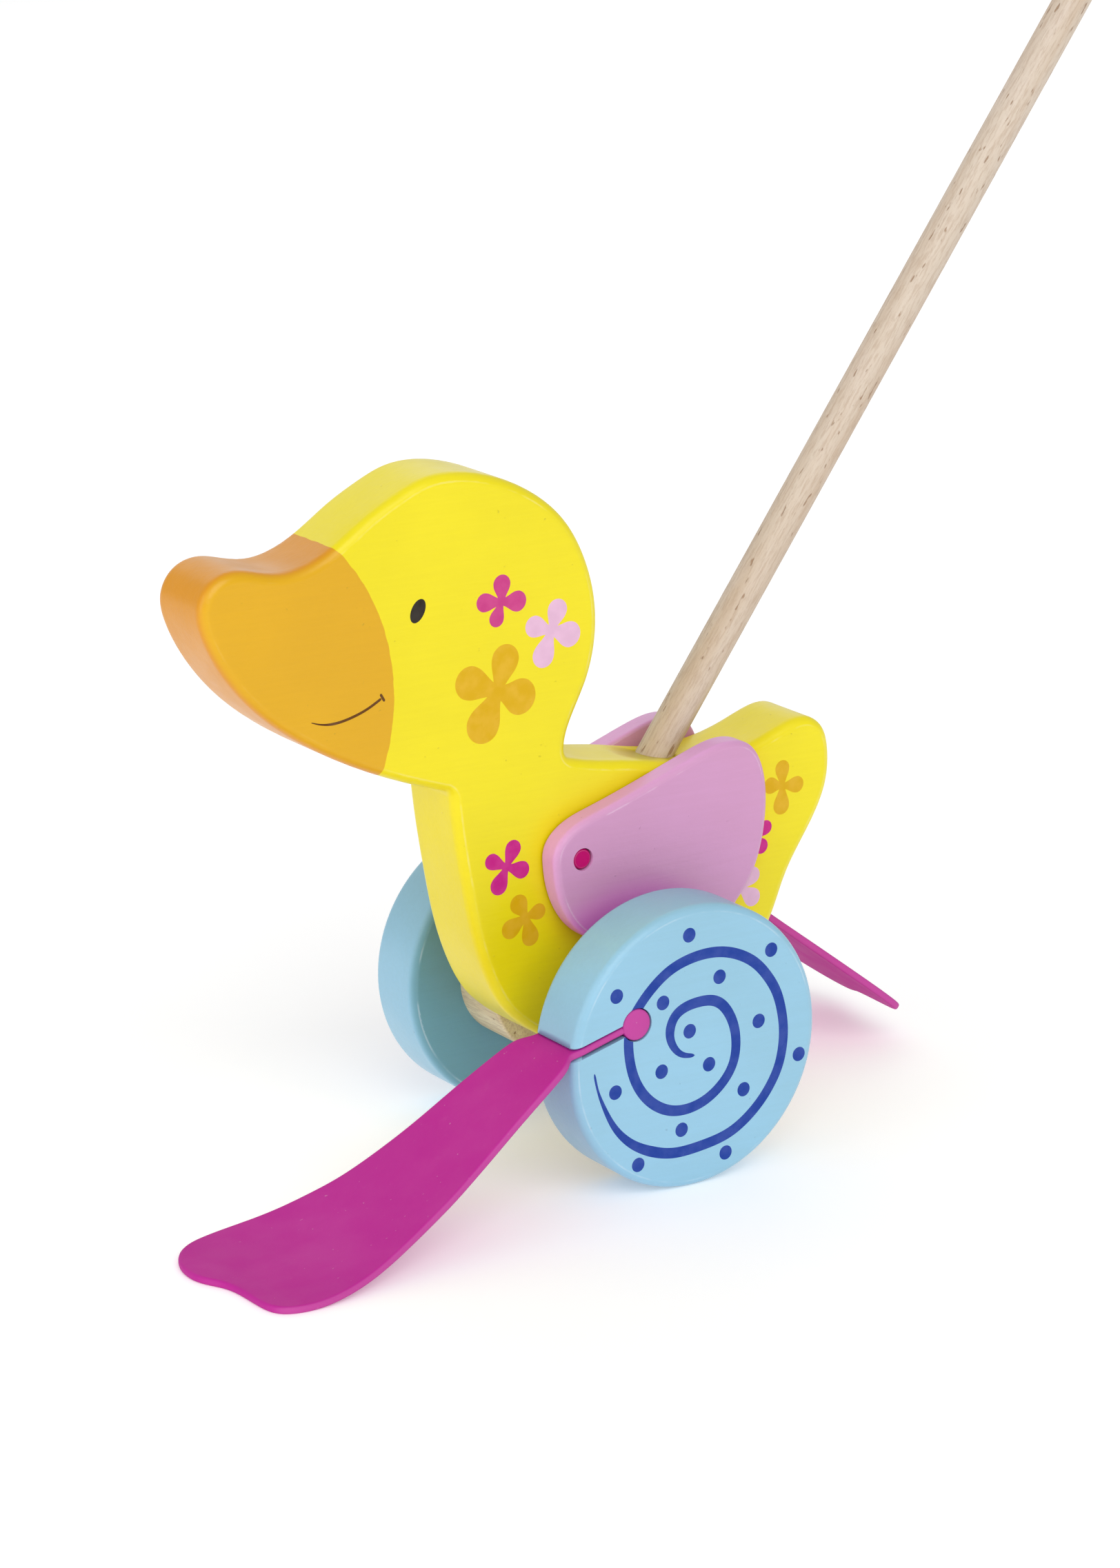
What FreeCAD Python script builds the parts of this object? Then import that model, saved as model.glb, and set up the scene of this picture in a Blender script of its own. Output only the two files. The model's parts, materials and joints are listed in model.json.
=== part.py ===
"""A push-along wooden duck on a stick: a flat duck between two wheels whose rubber feet slap the floor.

Millimetres. The origin is on the floor, midway between the wheels, straight under the axle.
+X points where the beak points, +Y to the duck's left and +Z up.
Outlines are (x, z) pairs measured from the axle's centre, and widths run along Y from the duck's middle.
"""

import FreeCAD, Part
import math
import os

# Driving dimensions
WHEEL_RADIUS = 40.0
WHEEL_THICKNESS = 20.0
WHEEL_INNER_Y = 31.0
WHEEL_ROUNDING = 2.6
BOARD_THICKNESS = 24.0
BOARD_ROUNDING = 3.0
BOARD_CORNER = 3.0
SIDE_GAP = 0.4

AXLE_RADIUS = 4.0
AXLE_SEAT = 12.0
RUNNING_GAP = 0.05

HUB_RADIUS = 18.7
HUB_OFFSET = 5.2
HUB_ROUNDING = 0.8
LEFT_HUB_ANGLE = 168.0
RIGHT_HUB_ANGLE = 6.0

WING_THICKNESS = 7.4
WING_FACE_ROUNDING = 2.0
WING_BACK_ROUNDING = 1.0
WING_CORNER = 3.0
WING_HUB_CLEARANCE = 0.7
PEG_X = 16.1
PEG_Z = 47.9
PEG_SHANK_RADIUS = 2.0
PEG_HEAD_RADIUS = 2.9
PEG_HEAD_LENGTH = 3.0
PEG_HEAD_DOME = 0.7
PEG_HEAD_SINK = 0.4
PEG_HEAD_GAP = 0.25
PEG_GLUED_LENGTH = 9.0

STICK_RADIUS = 5.0
STICK_ANGLE = 54.6
STICK_CROSSING_X = -15.5
STICK_CROSSING_Z = 60.0
STICK_IN_BODY = 16.0
STICK_BEYOND = 475.0
GRIP_RADIUS = 19.0
GRIP_NECK_RADIUS = 8.5
GRIP_SEAT = 22.0
GRIP_NECK_LENGTH = 3.0

BEAD_RADIUS = 4.4
BEAD_DISTANCE = 21.9
KEYHOLE_GAP = 0.3
SLOT_TURN = 42.5
SLOT_HALF_WIDTH = 1.7
FOOT_THICKNESS = 2.5
FOOT_HINGE_GAP = 0.9
FOOT_LENGTH = 114.5
FOOT_CURVE_STEPS = 14
LEFT_BEAD_ANGLE = 27.5
RIGHT_BEAD_ANGLE = 109.5

# The duck's outline: from the nape over the head and beak to the throat, then down and round the tail.
HEAD_OUTLINE = [
    (15.9, 74.5), (15.6, 80.3), (12.9, 87.0), (8.7, 95.7), (6.1, 106.0), (6.0, 116.1), (9.2, 128.8),
    (16.2, 140.8), (25.7, 148.9), (38.4, 155.0), (51.5, 157.7), (60.2, 157.0), (68.3, 153.8), (77.3, 149.0),
    (88.3, 141.8), (95.3, 138.6), (102.1, 137.3), (110.0, 138.4), (117.2, 139.7), (124.0, 137.5),
    (128.0, 130.8), (126.8, 123.2), (122.5, 114.5), (112.4, 101.9), (95.5, 89.1), (72.4, 77.4), (52.8, 70.4),
]
BELLY_OUTLINE = [
    (52.8, 70.4), (51.3, 58.0), (49.0, 44.4), (45.6, 28.2), (41.0, 15.0), (35.9, 6.2), (27.3, -1.6),
    (17.3, -7.4), (3.0, -12.0), (-12.0, -12.5), (-27.0, -8.3), (-39.8, -0.2), (-49.1, 9.4), (-54.4, 18.3),
    (-58.8, 28.8), (-67.7, 43.3), (-72.4, 54.0), (-72.9, 63.2), (-70.5, 70.5), (-65.0, 73.8), (-57.5, 72.8),
    (-49.4, 69.9), (-40.0, 67.5), (-23.0, 67.0), (-5.5, 70.2), (6.0, 72.0), (15.9, 74.5),
]
# The wing's outline: from its round front over the top and the broad tail end. The hub's sweep is cut out.
WING_OUTLINE = [
    (25.0, 47.5), (23.6, 52.8), (18.5, 57.2), (10.3, 60.2), (-1.2, 63.8), (-12.2, 67.6), (-23.7, 71.6),
    (-32.8, 73.4), (-40.0, 71.3), (-44.3, 64.3), (-45.6, 54.0), (-44.1, 42.2), (-40.6, 33.1), (-34.6, 25.7),
    (-26.0, 20.0), (-17.0, 17.5), (-6.0, 18.0), (4.0, 20.3), (11.0, 23.2), (17.5, 27.8), (22.5, 35.5),
]

# Each rubber foot flexes just outside its wheel's slot and hangs from there in this curve, seen from the side.
LEFT_FOOT_CURVE = [
    (41.4, 4.3), (50.0, -0.7), (62.0, -8.6), (74.0, -16.8), (88.0, -24.9), (103.0, -31.9), (118.0, -36.4),
    (133.0, -38.4), (147.0, -38.7),
]
RIGHT_FOOT_CURVE = [
    (-27.9, 31.8), (-38.5, 27.8), (-51.0, 21.8), (-63.5, 14.5), (-76.0, 5.6), (-91.0, -5.9),
    (-106.0, -17.5), (-124.0, -31.4),
]
# A foot's half width at stations along its length, FOOT_LENGTH in all. The last station is its blunt notch.
FOOT_HALF_WIDTHS = [
    (0.0, 9.3), (4.0, 12.2), (12.0, 14.4), (25.0, 16.2), (40.0, 18.0), (52.0, 19.6), (62.0, 21.2),
    (72.0, 24.0), (82.0, 26.5), (94.0, 28.0), (104.0, 27.2), (110.5, 23.0), (113.5, 15.0), (112.5, 0.0),
]


def vector(x, z, y=0.0):
    """A point given from the axle's centre, in the part's frame."""
    return FreeCAD.Vector(x, y, z + WHEEL_RADIUS)


def polar(radius, degrees):
    """(x, z) at a distance and angle from the axle's centre; angles run from +X towards +Z."""
    angle = math.radians(degrees)
    return radius * math.cos(angle), radius * math.sin(angle)


def smooth_edge(points, closed=False):
    """One smooth curve through outline points."""
    curve = Part.BSplineCurve()
    curve.interpolate([vector(x, z) for x, z in points], PeriodicFlag=closed)
    return curve.toShape()


def slab(edges, low_y, high_y):
    """A board of this outline between two distances from the duck's middle."""
    face = Part.Face(Part.Wire(edges))
    face.translate(FreeCAD.Vector(0, low_y, 0))
    return face.extrude(FreeCAD.Vector(0, high_y - low_y, 0))


def rod(x, z, radius, low_y, high_y):
    """A round bar along Y."""
    start = vector(x, z, low_y)
    return Part.makeCylinder(radius, high_y - low_y, start, FreeCAD.Vector(0, 1, 0))


def mirrored_y(shape):
    """The same shape on the duck's other side."""
    return shape.mirror(FreeCAD.Vector(0, 0, 0), FreeCAD.Vector(0, 1, 0))


def round_corners(solid, radius, places):
    """Rounds the edges across the board that stand at these outline points."""
    def distance(edge, place):
        return (edge.CenterOfMass - vector(*place, edge.CenterOfMass.y)).Length

    crossing = [e for e in solid.Edges if abs(e.tangentAt(e.FirstParameter).y) > 0.99]
    corners = [min(crossing, key=lambda e: distance(e, place)) for place in places]
    return solid.makeFillet(radius, corners)


def round_rims(solid, radius, planes):
    """Rounds the edges that lie in planes at these distances from the duck's middle."""
    rims = []
    for edge in solid.Edges:
        box = edge.BoundBox
        if any(abs(box.YMin - y) < 1e-4 and abs(box.YMax - y) < 1e-4 for y in planes):
            rims.append(edge)
    return solid.makeFillet(radius, rims)


def stick_axis():
    """The stick's crossing point inside the duck, and the direction in which it rises."""
    angle = math.radians(STICK_ANGLE)
    return vector(STICK_CROSSING_X, STICK_CROSSING_Z), FreeCAD.Vector(-math.cos(angle), 0, math.sin(angle))


def duck_body():
    """The flat duck, bored for the axle and drilled for both wing pegs and the stick."""
    half = BOARD_THICKNESS / 2
    body = slab([smooth_edge(HEAD_OUTLINE), smooth_edge(BELLY_OUTLINE)], -half, half)
    body = round_corners(body, BOARD_CORNER, [HEAD_OUTLINE[0], HEAD_OUTLINE[-1]])
    body = round_rims(body, BOARD_ROUNDING, [-half, half])
    body = body.cut(rod(0, 0, AXLE_RADIUS + RUNNING_GAP, -half - 1, half + 1))
    for low_y in (-half, half - PEG_GLUED_LENGTH):
        body = body.cut(rod(PEG_X, PEG_Z, PEG_SHANK_RADIUS, low_y, low_y + PEG_GLUED_LENGTH))
    return body.cut(push_stick())


def push_stick():
    """The dowel, from the bottom of its socket to inside the grip."""
    crossing, rise = stick_axis()
    length = STICK_IN_BODY + STICK_BEYOND
    return Part.makeCylinder(STICK_RADIUS, length, crossing - rise * STICK_IN_BODY, rise)


def grip_ball():
    """The turned ball on the stick's end, with a short neck that the stick enters."""
    crossing, rise = stick_axis()
    stick_end = crossing + rise * STICK_BEYOND
    centre = stick_end - rise * (GRIP_SEAT - GRIP_RADIUS)
    neck_start = centre - rise * (GRIP_RADIUS + GRIP_NECK_LENGTH)
    ball = Part.makeSphere(GRIP_RADIUS, centre)
    neck = Part.makeCylinder(GRIP_NECK_RADIUS, GRIP_RADIUS, neck_start, rise)
    return ball.fuse(neck).cut(push_stick()).removeSplitter()


def left_wing():
    """A wing board with an arch that clears the hub's whole turn, and a sunk hole for its peg's head."""
    inner = BOARD_THICKNESS / 2 + SIDE_GAP
    outer = inner + WING_THICKNESS
    sweep = HUB_RADIUS + HUB_OFFSET + WING_HUB_CLEARANCE
    wing = slab([smooth_edge(WING_OUTLINE, closed=True)], inner, outer)
    wing = wing.cut(rod(0, 0, sweep, inner - 1, outer + 1))
    wing = round_corners(wing, WING_CORNER, [polar(sweep, 66.0), polar(sweep, 133.0)])
    wing = round_rims(wing, WING_BACK_ROUNDING, [inner])
    wing = round_rims(wing, WING_FACE_ROUNDING, [outer])
    shank_hole = rod(PEG_X, PEG_Z, PEG_SHANK_RADIUS + RUNNING_GAP, inner - 1, outer + 1)
    sunk_depth = PEG_HEAD_SINK + PEG_HEAD_LENGTH + PEG_HEAD_GAP
    head_hole = rod(PEG_X, PEG_Z, PEG_HEAD_RADIUS + PEG_HEAD_GAP, outer - sunk_depth, outer + 1)
    return wing.cut(shank_hole).cut(head_hole)


def left_wing_peg():
    """The headed peg that a wing turns on, glued into the duck's side."""
    side = BOARD_THICKNESS / 2
    head_top = side + SIDE_GAP + WING_THICKNESS - PEG_HEAD_SINK
    shank = rod(PEG_X, PEG_Z, PEG_SHANK_RADIUS, side - PEG_GLUED_LENGTH, head_top - PEG_HEAD_DOME)
    head = rod(PEG_X, PEG_Z, PEG_HEAD_RADIUS, head_top - PEG_HEAD_LENGTH, head_top)
    head = round_rims(head, PEG_HEAD_DOME, [head_top])
    return head.fuse(shank).removeSplitter()


def axle():
    """The dowel that joins both wheels through the duck."""
    reach = WHEEL_INNER_Y + AXLE_SEAT
    return rod(0, 0, AXLE_RADIUS, -reach, reach)


def left_hub(angle):
    """A thick disc set off centre on the axle between the duck and a wheel; a wing rests on it."""
    x, z = polar(HUB_OFFSET, angle)
    inner = BOARD_THICKNESS / 2 + SIDE_GAP
    hub = rod(x, z, HUB_RADIUS, inner, WHEEL_INNER_Y)
    hub = round_rims(hub, HUB_ROUNDING, [inner])
    return hub.cut(rod(0, 0, AXLE_RADIUS, inner - 1, WHEEL_INNER_Y + 1))


def keyhole(bead_angle, turn, half_width, bead_radius, reach):
    """The bead's round hole and the slot from it out through the rim, as a cutter as wide as the wheel."""
    x, z = polar(BEAD_DISTANCE, bead_angle)
    inner = WHEEL_INNER_Y
    outer = inner + WHEEL_THICKNESS
    bead = rod(x, z, bead_radius, inner, outer)
    slot = Part.makeBox(reach, outer - inner, 2 * half_width, FreeCAD.Vector(0, 0, -half_width))
    slot.rotate(FreeCAD.Vector(0, 0, 0), FreeCAD.Vector(0, -1, 0), bead_angle + turn)
    slot.translate(vector(x, z, inner))
    return bead.fuse(slot)


def left_wheel(bead_angle, turn):
    """A solid wheel with rounded rims, a blind hole for the axle and a keyhole for its foot."""
    inner = WHEEL_INNER_Y
    outer = inner + WHEEL_THICKNESS
    wheel = rod(0, 0, WHEEL_RADIUS, inner, outer)
    wheel = round_rims(wheel, WHEEL_ROUNDING, [inner, outer])
    wheel = wheel.cut(rod(0, 0, AXLE_RADIUS, inner, inner + AXLE_SEAT))
    hole_radius = BEAD_RADIUS + KEYHOLE_GAP
    return wheel.cut(keyhole(bead_angle, turn, SLOT_HALF_WIDTH, hole_radius, WHEEL_RADIUS))


def foot_root(bead_angle, turn, exit_point):
    """The bead and tongue of a rubber foot, held in the wheel's keyhole."""
    x, z = polar(BEAD_DISTANCE, bead_angle)
    reach = math.hypot(exit_point[0] - x, exit_point[1] - z) - FOOT_HINGE_GAP
    return keyhole(bead_angle, turn, FOOT_THICKNESS / 2, BEAD_RADIUS, reach)


def foot_blade(curve_points, middle_y):
    """The rubber sheet of a foot: a curve seen from the side, cut to its webbed outline seen from above."""
    centre_line = smooth_edge(curve_points)
    curve = centre_line.Curve
    length = centre_line.Length

    def along(distance):
        """The point and the heading of the sheet's middle at a distance from the flexing line."""
        place = curve.parameterAtDistance(distance, curve.FirstParameter)
        return curve.value(place), curve.tangent(place)[0]

    middles = []
    for step in range(FOOT_CURVE_STEPS + 1):
        middles.append(along(FOOT_HINGE_GAP + (length - FOOT_HINGE_GAP) * step / FOOT_CURVE_STEPS))
    edges = []
    for shift in (FOOT_THICKNESS / 2, -FOOT_THICKNESS / 2):
        line = [point + FreeCAD.Vector(-heading.z, 0, heading.x) * shift for point, heading in middles]
        side = Part.BSplineCurve()
        side.interpolate(line)
        edges.append(side.toShape())
    upper, lower = edges
    start = Part.makeLine(upper.valueAt(upper.FirstParameter), lower.valueAt(lower.FirstParameter))
    end = Part.makeLine(upper.valueAt(upper.LastParameter), lower.valueAt(lower.LastParameter))
    sheet = Part.Face(Part.Wire([upper, end, lower, start]))
    sheet.translate(FreeCAD.Vector(0, middle_y - WHEEL_RADIUS, 0))
    sheet = sheet.extrude(FreeCAD.Vector(0, 2 * WHEEL_RADIUS, 0))

    rim = []
    for distance, half in FOOT_HALF_WIDTHS:
        point, _ = along(distance * length / FOOT_LENGTH)
        rim.append(FreeCAD.Vector(point.x, middle_y + half, -WHEEL_RADIUS))
    other = [FreeCAD.Vector(p.x, 2 * middle_y - p.y, p.z) for p in reversed(rim[:-1])]
    outline = Part.BSplineCurve()
    outline.interpolate(rim + other)
    root = Part.makeLine(other[-1], rim[0])
    prism = Part.Face(Part.Wire([outline.toShape(), root])).extrude(FreeCAD.Vector(0, 0, 4 * WHEEL_RADIUS))
    return sheet.common(prism)


def build():
    """Every piece by its node name."""
    wheel_middle = WHEEL_INNER_Y + WHEEL_THICKNESS / 2
    return {
        "duck_body": duck_body(),
        "push_stick": push_stick(),
        "grip_ball": grip_ball(),
        "left_wing": left_wing(),
        "right_wing": mirrored_y(left_wing()),
        "left_wing_peg": left_wing_peg(),
        "right_wing_peg": mirrored_y(left_wing_peg()),
        "axle": axle(),
        "left_hub": left_hub(LEFT_HUB_ANGLE),
        "right_hub": mirrored_y(left_hub(RIGHT_HUB_ANGLE)),
        "left_wheel": left_wheel(LEFT_BEAD_ANGLE, -SLOT_TURN),
        "right_wheel": mirrored_y(left_wheel(RIGHT_BEAD_ANGLE, SLOT_TURN)),
        "left_foot_root": foot_root(LEFT_BEAD_ANGLE, -SLOT_TURN, LEFT_FOOT_CURVE[0]),
        "right_foot_root": mirrored_y(foot_root(RIGHT_BEAD_ANGLE, SLOT_TURN, RIGHT_FOOT_CURVE[0])),
        "left_foot_blade": foot_blade(LEFT_FOOT_CURVE, wheel_middle),
        "right_foot_blade": foot_blade(RIGHT_FOOT_CURVE, -wheel_middle),
    }


os.makedirs("parts", exist_ok=True)
for name, shape in build().items():
    shape.exportStep(f"parts/{name}.step")
    box = shape.BoundBox
    print(f"{name}: valid {shape.isValid()}, {len(shape.Solids)} solid, {shape.Volume / 1000:.2f} cm3,",
          f"x {box.XMin:.1f}..{box.XMax:.1f}, y {box.YMin:.1f}..{box.YMax:.1f},",
          f"z {box.ZMin:.1f}..{box.ZMax:.1f}")
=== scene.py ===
"""Looks of the push-along wooden duck: painted and printed boards, bare beech, one-piece rubber feet.

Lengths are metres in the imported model's frame. Outlines and prints are (x, z) pairs in millimetres
from the axle's centre, as the part's own outlines are. A foot's edge is in millimetres too: pairs of
the distance from its flexing line and the distance across.
"""

import json
import math

import bmesh
import bpy
import numpy as np
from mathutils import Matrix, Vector
from mathutils.geometry import delaunay_2d_cdt


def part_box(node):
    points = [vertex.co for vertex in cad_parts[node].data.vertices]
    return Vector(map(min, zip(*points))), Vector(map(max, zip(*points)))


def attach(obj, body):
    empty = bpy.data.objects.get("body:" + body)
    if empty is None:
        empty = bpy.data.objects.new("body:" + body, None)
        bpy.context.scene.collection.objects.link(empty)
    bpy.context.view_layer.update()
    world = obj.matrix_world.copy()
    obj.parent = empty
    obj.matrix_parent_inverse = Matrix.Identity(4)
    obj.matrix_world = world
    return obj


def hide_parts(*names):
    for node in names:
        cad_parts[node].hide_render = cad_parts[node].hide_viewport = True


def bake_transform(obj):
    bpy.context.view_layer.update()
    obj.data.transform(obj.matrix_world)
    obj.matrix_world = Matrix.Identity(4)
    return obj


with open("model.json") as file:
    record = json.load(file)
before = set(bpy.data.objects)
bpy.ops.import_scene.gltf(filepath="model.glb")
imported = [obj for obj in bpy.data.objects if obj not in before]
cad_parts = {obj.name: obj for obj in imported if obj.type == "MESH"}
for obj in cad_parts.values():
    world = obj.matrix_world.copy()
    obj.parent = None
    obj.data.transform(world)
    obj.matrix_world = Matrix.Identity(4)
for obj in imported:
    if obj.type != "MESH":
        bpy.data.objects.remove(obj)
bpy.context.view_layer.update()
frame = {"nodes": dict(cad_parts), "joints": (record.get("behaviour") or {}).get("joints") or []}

MM = 0.001
JOINTS = {joint["name"]: joint for joint in frame["joints"]}
AXLE = Vector(JOINTS["wheel_spin"]["pos_m"])
BOARD_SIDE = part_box("duck_body")[1].y
WHEEL_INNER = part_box("left_wheel")[0].y
WHEEL_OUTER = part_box("left_wheel")[1].y
WHEEL_MIDDLE = (WHEEL_INNER + WHEEL_OUTER) / 2
# Metres: corners this close are one corner, and a corner this close to a board's side lies on it.
TOUCHING = 1e-6
SAME_SIDE = 1e-5
# Degrees between two faces past which their edge stays sharp.
BOARD_SHARPNESS = 35
RUBBER_SHARPNESS = 40

# The two wheels are the same part, turned over: their bead holes stand at these angles, from +X towards +Z.
LEFT_BEAD_ANGLE = 27.5
RIGHT_BEAD_ANGLE = 109.5
BEAD_DISTANCE = 21.9
LEFT_SLOT_ANGLE = -15.0
RIGHT_SLOT_ANGLE = 152.0

# Prints on the duck's sides: ink, flower's centre, and each petal's round end (x, z, radius).
FLOWERS = [
    ("ink_rose", (37.1, 121.0),
     [(37.0, 125.8, 2.7), (42.4, 121.5, 2.6), (32.2, 120.6, 2.9), (38.7, 116.6, 2.3)]),
    ("ink_pink", (21.3, 110.9),
     [(19.4, 116.4, 3.1), (26.6, 112.8, 3.0), (15.6, 109.2, 3.6), (23.9, 104.4, 3.4)]),
    ("ink_orange", (38.5, 96.6),
     [(36.0, 105.0, 4.3), (47.1, 100.1, 4.7), (31.5, 94.2, 5.1), (43.1, 88.0, 5.2)]),
    ("ink_magenta", (35.8, 47.0),
     [(33.7, 51.9, 2.5), (40.4, 49.3, 2.3), (31.0, 45.5, 2.5), (38.3, 42.2, 2.7)]),
    ("ink_orange", (29.6, 31.9),
     [(31.9, 35.8, 2.8), (25.6, 32.7, 2.3), (34.6, 29.2, 2.8), (28.2, 26.0, 2.7)]),
    ("ink_orange", (-56.0, 55.3),
     [(-55.9, 60.4, 2.4), (-60.9, 55.0, 2.4), (-52.0, 56.0, 2.4), (-55.7, 49.7, 2.7)]),
    ("ink_magenta", (-46.6, 41.6),
     [(-50.4, 44.1, 2.1), (-48.9, 38.9, 2.3), (-43.0, 43.6, 2.1), (-42.8, 38.8, 2.1)]),
    ("ink_pink", (-42.0, 27.6),
     [(-46.0, 30.8, 2.5), (-46.0, 24.4, 2.7), (-38.4, 30.4, 2.4), (-38.0, 25.0, 2.4)]),
]
# Half a petal's width at shares of the way out, as shares of its end's radius.
PETAL_WIDTHS = [(0.1, 0.34), (0.45, 0.62), (0.8, 0.93)]
FLOWER_HEART = 0.42
EYE_CENTRE = (63.2, 122.1)
EYE_RADII = (3.4, 2.1)
EYE_TILT = 117.0
SMILE = [(96.1, 96.6), (93.3, 95.7), (90.2, 95.3), (86.0, 95.7), (79.7, 97.5), (74.7, 100.0)]
SMILE_WIDTH = 0.76
SMILE_TAPER = 0.3
SMILE_END = [(75.0, 101.3), (73.7, 99.1)]

# The wheel's print: a drawn-out spiral from the middle to the rim, and dots between its turns.
SPIRAL = [
    (0.6, -2.1), (5.1, -0.9), (8.2, 2.9), (8.7, 6.6), (7.3, 10.0), (4.1, 12.1), (-0.8, 12.9),
    (-5.4, 12.4), (-8.9, 10.1), (-11.7, 5.6), (-13.0, 0.4), (-12.6, -5.5), (-10.2, -10.2),
    (-5.7, -14.2), (0.0, -16.6), (6.8, -16.8), (12.5, -14.5), (17.0, -10.5), (20.3, -4.9),
    (21.9, 1.2), (22.2, 6.6), (21.2, 11.4), (18.4, 15.7), (14.6, 19.6), (9.2, 23.4), (2.7, 25.6),
    (-4.1, 26.2), (-11.1, 25.0), (-18.2, 21.4), (-22.9, 16.7), (-26.5, 10.9), (-28.4, 4.5),
    (-29.0, -1.6), (-27.8, -9.5), (-25.0, -15.2), (-20.5, -20.6), (-12.1, -26.3), (-2.5, -28.5),
    (6.8, -28.9), (13.9, -27.2), (20.7, -23.7), (26.4, -18.0), (30.0, -11.4), (32.1, -6.0), (33.2, -1.1),
]
SPIRAL_WIDTH = 3.05
SPIRAL_TAPER_START = 0.05
SPIRAL_TAPER_END = 0.12
DOTS = [
    (2.7, 32.4), (-24.5, 23.4), (-7.4, 18.8), (26.1, 19.4), (11.1, 14.8), (2.3, 5.1), (-20.6, 3.7),
    (-34.3, -8.5), (11.4, -4.7), (-4.2, -5.6), (26.4, -7.7), (-15.8, -15.1), (4.7, -22.7),
    (-10.0, -32.3), (18.9, -29.9),
]
DOT_RADIUS = 2.06

# A brush stroke's width where it starts and ends, and at its rounded tips, as shares of its full width.
STROKE_START = 0.35
STROKE_END = 0.16
STROKE_TIP = 0.02

# Each foot's middle line beyond its flexing line, seen from the side.
LEFT_FOOT_CURVE = [
    (41.4, 4.3), (50.0, -0.7), (62.0, -8.6), (74.0, -16.8), (88.0, -25.0), (103.0, -32.3),
    (117.0, -37.0), (131.0, -38.9), (141.0, -38.95), (151.0, -38.95),
]
RIGHT_FOOT_CURVE = [
    (-27.9, 31.8), (-38.5, 27.8), (-51.0, 21.7), (-63.5, 14.2), (-76.0, 5.1), (-91.0, -6.5),
    (-107.2, -19.2), (-128.4, -35.8),
]
# The right foot sags a little towards its outer edge: it turns about its own middle line by these degrees.
RIGHT_FOOT_TWIST = 2.4
TWIST_REACH = 60.0
FOOT_HALF_THICKNESS = 1.05
FOOT_RIM = 0.75
# The tongue goes through the wheel's slot: from just past the bead's centre to just before the flexing line.
TONGUE_HALF_WIDTH = 9.7
TONGUE_START = 0.6
TONGUE_END = -4.0
# A foot's edge from the wheel's slot along its outer side, round its two toes and back along its inner side.
FOOT_EDGE = [
    (-1.2, 9.7), (1.6, 11.9), (6.0, 13.6), (14.0, 14.9), (25.0, 16.4), (40.0, 18.5), (50.0, 20.4),
    (61.0, 22.3), (71.5, 24.4), (82.0, 26.7), (92.0, 28.6), (99.0, 29.3), (104.5, 28.9),
    (108.8, 27.4), (111.3, 24.2), (112.2, 18.0), (112.4, 11.3), (112.9, 6.7), (114.1, 3.0),
    (116.1, -0.8), (117.5, -5.0), (117.5, -10.2), (116.0, -15.6), (112.8, -20.8), (107.4, -25.2),
    (99.5, -27.7), (90.0, -27.7), (80.0, -25.8), (71.0, -23.5), (62.0, -21.1), (51.0, -19.4),
    (40.0, -18.0), (25.0, -16.0), (14.0, -14.6), (6.0, -13.4), (1.6, -11.9), (-1.2, -9.7),
]
# The points that fill a foot's sheet, so that it can bend: steps along and across, and room left at the rim.
SHEET_STEP_ALONG = 2.2
SHEET_STEP_ACROSS = 3.0
SHEET_HALF_WIDTH = 28.5
SHEET_CLEARANCE = 1.0
BEAD_RADIUS = 4.4
BEAD_HALF_LENGTH = 9.9
BEAD_RIM = 0.5
BEAD_TURNS = 56

# The round masking line between the beak and the head.
BEAK_CENTRE = AXLE + Vector((129.5, 0, 100.5)) * MM
BEAK_RADIUS = 58.7 * MM
MASKING_BLUR = 0.00008

# The turns that bring the stick's and the axle's grain to X, and the stretch of a board's grain.
STICK_TURN = (0, math.radians(-54.6), 0)
ACROSS_TURN = (0, 0, math.radians(90))
BOARD_GRAIN = (14, 260, 260)

# Studio
CAMERA_AZIMUTH = 33.33
CAMERA_ELEVATION = 16.15
CAMERA_PLACE = (0.68978, 1.03271, 0.46147)
CAMERA_LENS = 107.75
CAMERA_SENSOR = 36.0
CAMERA_RANGE = (0.05, 60.0)
TOY_MIDDLE = (0.0, 0.0, 0.12)
# Each softbox's place, size in metres and power in watts.
SOFTBOXES = {
    "key_light": ((1.5, 1.6, 1.7), 1.6, 4),
    "front_light": ((1.85, 0.25, 0.75), 1.2, 6),
    "back_light": ((-0.67, -1.92, 1.39), 2.4, 10),
}
SUN_FROM = (0.20, 0.78, 0.58)
SUN_STRENGTH = 1.12
SUN_ANGLE = 50
WORLD_STRENGTH = 0.52
FLOOR_RADIUS = 12.0
FLOOR_GLOW = 0.22


def linear(red, green, blue):
    """A colour given as it looks on screen, 0 to 255, as linear light."""
    out = []
    for value in (red, green, blue):
        value /= 255.0
        out.append(value / 12.92 if value <= 0.04045 else ((value + 0.055) / 1.055) ** 2.4)
    return (*out, 1.0)


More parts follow.
